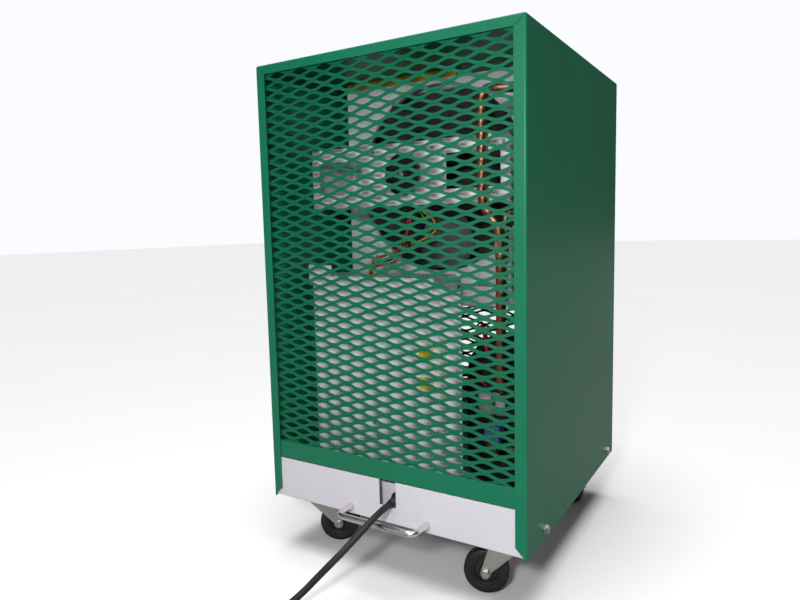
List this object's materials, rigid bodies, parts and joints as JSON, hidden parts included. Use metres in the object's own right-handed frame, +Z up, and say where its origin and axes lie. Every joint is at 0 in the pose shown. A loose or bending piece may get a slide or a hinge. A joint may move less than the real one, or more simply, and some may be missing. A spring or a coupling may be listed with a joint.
{
  "type": "dehumidifier",
  "caption": "Industrial dehumidifier: green folded cover with expanded metal grilles, white base, pull handle, castors and mains lead; fan, coils and compressor inside.",
  "frame": {"origin": "on the floor under the middle of the machine's box, measured without the lead, its coil, tie and plug", "axes": "+Z up, the front grille, handle and lead face -Y, +X is the machine's right side seen from the front"},
  "size_m": [0.5158, 0.9174, 0.89],
  "materials": {
    "green_paint": "glossy powder coat, green",
    "white_paint": "smooth off-white powder coat",
    "zinc": "bright zinc plate, pressed steel",
    "bright_steel": "polished round bar",
    "aluminium": "mill-finish fins and can",
    "copper": "drawn copper tube, slightly tarnished",
    "brass": "turned brass",
    "black_paint": "satin black enamel",
    "black_rubber": "matt black rubber",
    "tyre_rubber": "solid black tyre rubber",
    "black_plastic": "moulded black nylon",
    "fan_plastic": "moulded grey fan blades",
    "grey_plastic": "moulded grey terminal strip",
    "blue_plastic": "moulded blue coil jacket",
    "yellow_foam": "open-cell sealing foam",
    "hose_plastic": "translucent grey hose",
    "wire_sleeve": "coloured wires in a loom"
  },
  "bodies": {
    "cabinet": {"outer_cover": "green_paint", "front_grille": "green_paint", "rear_grille": "green_paint", "front_lower_rail": "green_paint", "rear_lower_rail": "green_paint", "base_tray": "white_paint", "fan_bulkhead": "white_paint", "motor_bracket": "white_paint", "coil_housing": "white_paint", "drip_tray": "white_paint", "electrical_box": "white_paint", "box_cover": "white_paint", "box_side_cover": "white_paint", "filter_drier": "white_paint", "cover_bolt_front_left": "zinc", "cover_bolt_front_right": "zinc", "cover_bolt_rear_left": "zinc", "rear_left_fork": "zinc", "rear_left_axle": "zinc", "cover_bolt_rear_right": "zinc", "rear_right_fork": "zinc", "rear_right_axle": "zinc", "front_left_castor_plate": "zinc", "front_right_castor_plate": "zinc", "handle": "bright_steel", "fan_motor": "black_paint", "foam_strip": "yellow_foam", "condenser_coil": "aluminium", "evaporator_coil": "aluminium", "drain_spigot": "black_plastic", "drain_hose": "hose_plastic", "compressor": "black_paint", "compressor_terminal_cover": "black_plastic", "suction_pipe": "copper", "discharge_pipe": "copper", "liquid_pipe": "copper", "hot_gas_pipe": "copper", "solenoid_valve": "brass", "solenoid_coil": "blue_plastic", "run_capacitor": "aluminium", "terminal_block": "grey_plastic", "wiring_loom": "wire_sleeve", "cable_gland": "black_plastic", "mains_cord": "black_rubber", "mains_cord_coil": "black_rubber", "cord_tie": "black_rubber", "mains_plug": "black_plastic"},
    "front_left_swivel_fork": {"front_left_fork": "zinc", "front_left_axle": "zinc"},
    "front_left_wheel": {"front_left_tyre": "tyre_rubber", "front_left_wheel_centre": "black_plastic"},
    "front_right_swivel_fork": {"front_right_fork": "zinc", "front_right_axle": "zinc"},
    "front_right_wheel": {"front_right_tyre": "tyre_rubber", "front_right_wheel_centre": "black_plastic"},
    "rear_left_wheel": {"rear_left_tyre": "tyre_rubber", "rear_left_wheel_centre": "black_plastic"},
    "rear_right_wheel": {"rear_right_tyre": "tyre_rubber", "rear_right_wheel_centre": "black_plastic"},
    "fan": {"fan_rotor": "fan_plastic"}
  },
  "joints": [
    {"name": "front_left_swivel", "type": "hinge", "parent": "cabinet", "child": "front_left_swivel_fork", "pos_m": [-0.189, -0.1852, 0.07], "axis": [0, 0, 1], "continuous": true},
    {"name": "front_left_roll", "type": "hinge", "parent": "front_left_swivel_fork", "child": "front_left_wheel", "pos_m": [-0.1616, -0.1707, 0.0375], "axis": [-0.4695, 0.8829, 0], "continuous": true},
    {"name": "front_right_swivel", "type": "hinge", "parent": "cabinet", "child": "front_right_swivel_fork", "pos_m": [0.189, -0.1852, 0.07], "axis": [0, 0, 1], "continuous": true},
    {"name": "front_right_roll", "type": "hinge", "parent": "front_right_swivel_fork", "child": "front_right_wheel", "pos_m": [0.1595, -0.1948, 0.0375], "axis": [0.309, -0.9511, 0], "continuous": true},
    {"name": "rear_left_roll", "type": "hinge", "parent": "cabinet", "child": "rear_left_wheel", "pos_m": [-0.189, 0.2117, 0.0375], "axis": [1, 0, 0], "continuous": true},
    {"name": "rear_right_roll", "type": "hinge", "parent": "cabinet", "child": "rear_right_wheel", "pos_m": [0.189, 0.2117, 0.0375], "axis": [1, 0, 0], "continuous": true},
    {"name": "fan_spin", "type": "hinge", "parent": "cabinet", "child": "fan", "pos_m": [0, -0.0483, 0.6916], "axis": [0, 1, 0], "continuous": true}
  ]
}
